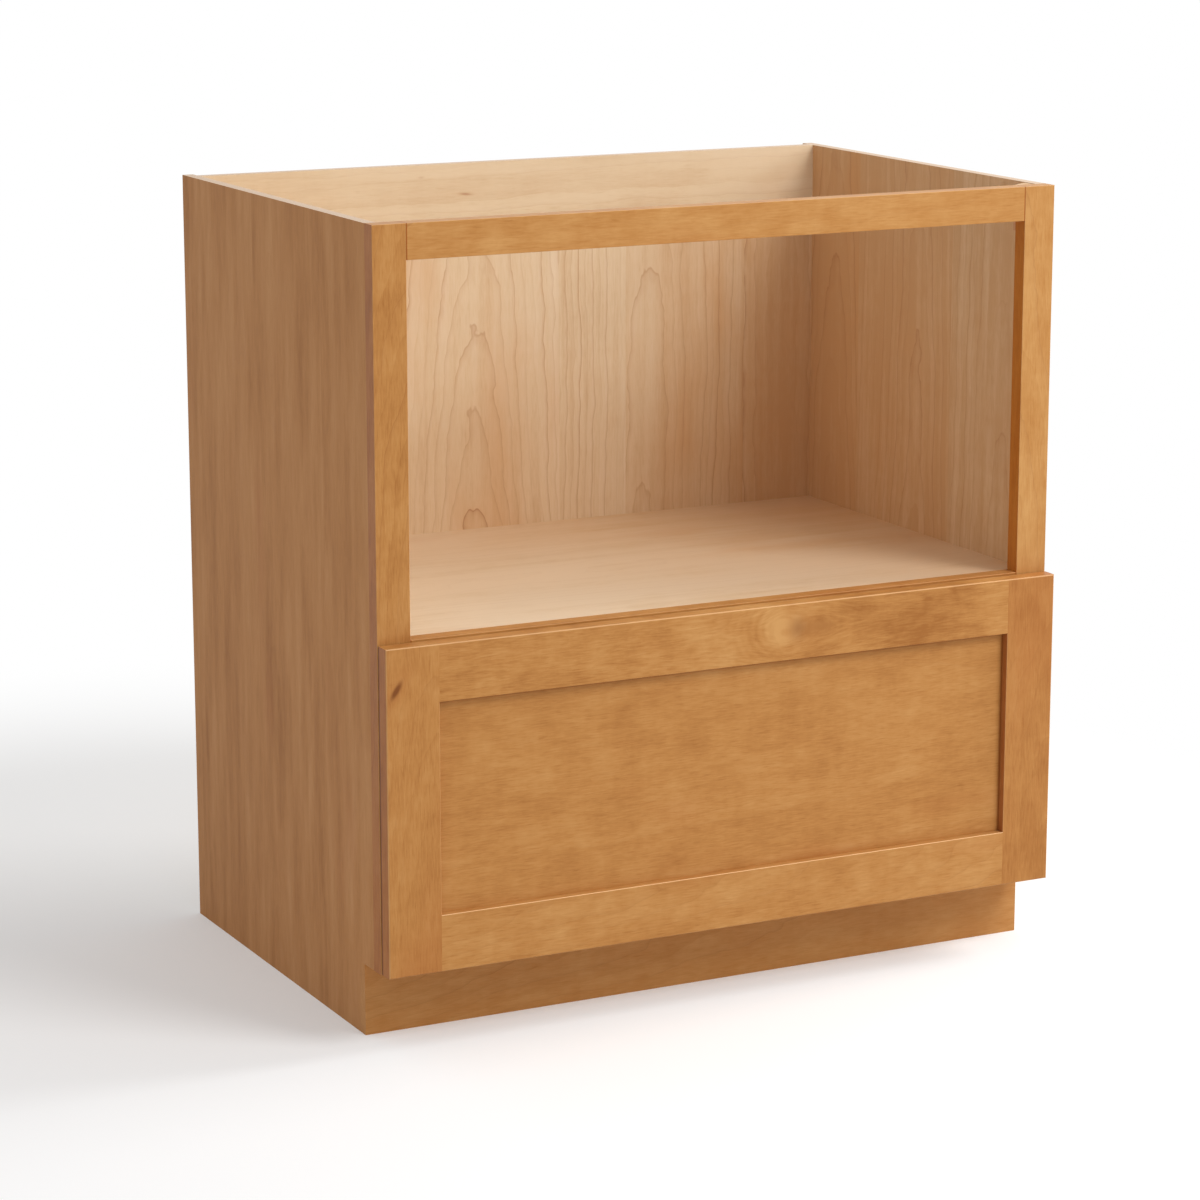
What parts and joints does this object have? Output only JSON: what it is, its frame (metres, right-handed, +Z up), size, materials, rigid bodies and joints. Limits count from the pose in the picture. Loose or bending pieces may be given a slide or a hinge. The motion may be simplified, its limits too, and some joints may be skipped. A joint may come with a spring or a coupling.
{
  "type": "microwave base cabinet",
  "caption": "Wooden base cabinet with an open bay for a microwave oven above one deep drawer, and a recessed toe space.",
  "frame": {"origin": "on the floor, midway across the width and midway between the face of the drawer front and the back edges of the sides", "axes": "+Z up, -Y towards the front where the drawer opens, +X to the right seen from the front"},
  "size_m": [0.8256, 0.5588, 0.8763],
  "materials": {
    "stained_maple": "stained maple, satin lacquer",
    "side_maple": "maple panel, stained outside and natural inside, satin lacquer",
    "natural_maple": "natural maple, satin lacquer",
    "raw_wood": "unfinished wood",
    "zinc_steel": "zinc plated",
    "clear_rubber": "soft, clear"
  },
  "bodies": {
    "cabinet": {"side_panel_left": "side_maple", "side_panel_right": "side_maple", "back_panel": "natural_maple", "hanging_rail": "natural_maple", "microwave_deck": "natural_maple", "cabinet_floor": "natural_maple", "toe_kick_board": "stained_maple", "toe_kick_backer": "raw_wood", "stile_left": "stained_maple", "stile_right": "stained_maple", "top_rail": "stained_maple", "middle_rail": "stained_maple", "bottom_rail": "stained_maple", "corner_block_left": "raw_wood", "corner_block_right": "raw_wood", "slide_spacer_left": "raw_wood", "slide_spacer_right": "raw_wood", "slide_cabinet_member_left": "zinc_steel", "slide_cabinet_member_right": "zinc_steel"},
    "middle_slide_left": {"slide_middle_member_left": "zinc_steel"},
    "middle_slide_right": {"slide_middle_member_right": "zinc_steel"},
    "outer_cage_left": {"outer_ball_cage_left": "zinc_steel"},
    "outer_cage_right": {"outer_ball_cage_right": "zinc_steel"},
    "inner_cage_left": {"inner_ball_cage_left": "zinc_steel"},
    "inner_cage_right": {"inner_ball_cage_right": "zinc_steel"},
    "drawer": {"slide_drawer_member_left": "zinc_steel", "slide_drawer_member_right": "zinc_steel", "drawer_front_stile_left": "stained_maple", "drawer_front_stile_right": "stained_maple", "drawer_front_top_rail": "stained_maple", "drawer_front_bottom_rail": "stained_maple", "drawer_front_panel": "stained_maple", "drawer_side_left": "natural_maple", "drawer_side_right": "natural_maple", "drawer_box_front": "natural_maple", "drawer_box_back": "natural_maple", "drawer_bottom": "natural_maple", "drawer_bumpers": "clear_rubber"}
  },
  "joints": [
    {"name": "drawer_slide", "type": "slide", "parent": "cabinet", "child": "drawer", "axis": [0, -1, 0], "range_m": [0, 0.437]},
    {"name": "middle_slide_left_slide", "type": "slide", "parent": "cabinet", "child": "middle_slide_left", "axis": [0, -1, 0], "range_m": [0, 0.2185]},
    {"name": "outer_cage_left_slide", "type": "slide", "parent": "cabinet", "child": "outer_cage_left", "axis": [0, -1, 0], "range_m": [0, 0.1092]},
    {"name": "inner_cage_left_slide", "type": "slide", "parent": "cabinet", "child": "inner_cage_left", "axis": [0, -1, 0], "range_m": [0, 0.3277]},
    {"name": "middle_slide_right_slide", "type": "slide", "parent": "cabinet", "child": "middle_slide_right", "axis": [0, -1, 0], "range_m": [0, 0.2185]},
    {"name": "outer_cage_right_slide", "type": "slide", "parent": "cabinet", "child": "outer_cage_right", "axis": [0, -1, 0], "range_m": [0, 0.1092]},
    {"name": "inner_cage_right_slide", "type": "slide", "parent": "cabinet", "child": "inner_cage_right", "axis": [0, -1, 0], "range_m": [0, 0.3277]}
  ],
  "couplings": [
    {"joint": "middle_slide_left_slide", "follows": "drawer_slide", "ratio": 0.5},
    {"joint": "outer_cage_left_slide", "follows": "drawer_slide", "ratio": 0.25},
    {"joint": "inner_cage_left_slide", "follows": "drawer_slide", "ratio": 0.75},
    {"joint": "middle_slide_right_slide", "follows": "drawer_slide", "ratio": 0.5},
    {"joint": "outer_cage_right_slide", "follows": "drawer_slide", "ratio": 0.25},
    {"joint": "inner_cage_right_slide", "follows": "drawer_slide", "ratio": 0.75}
  ]
}
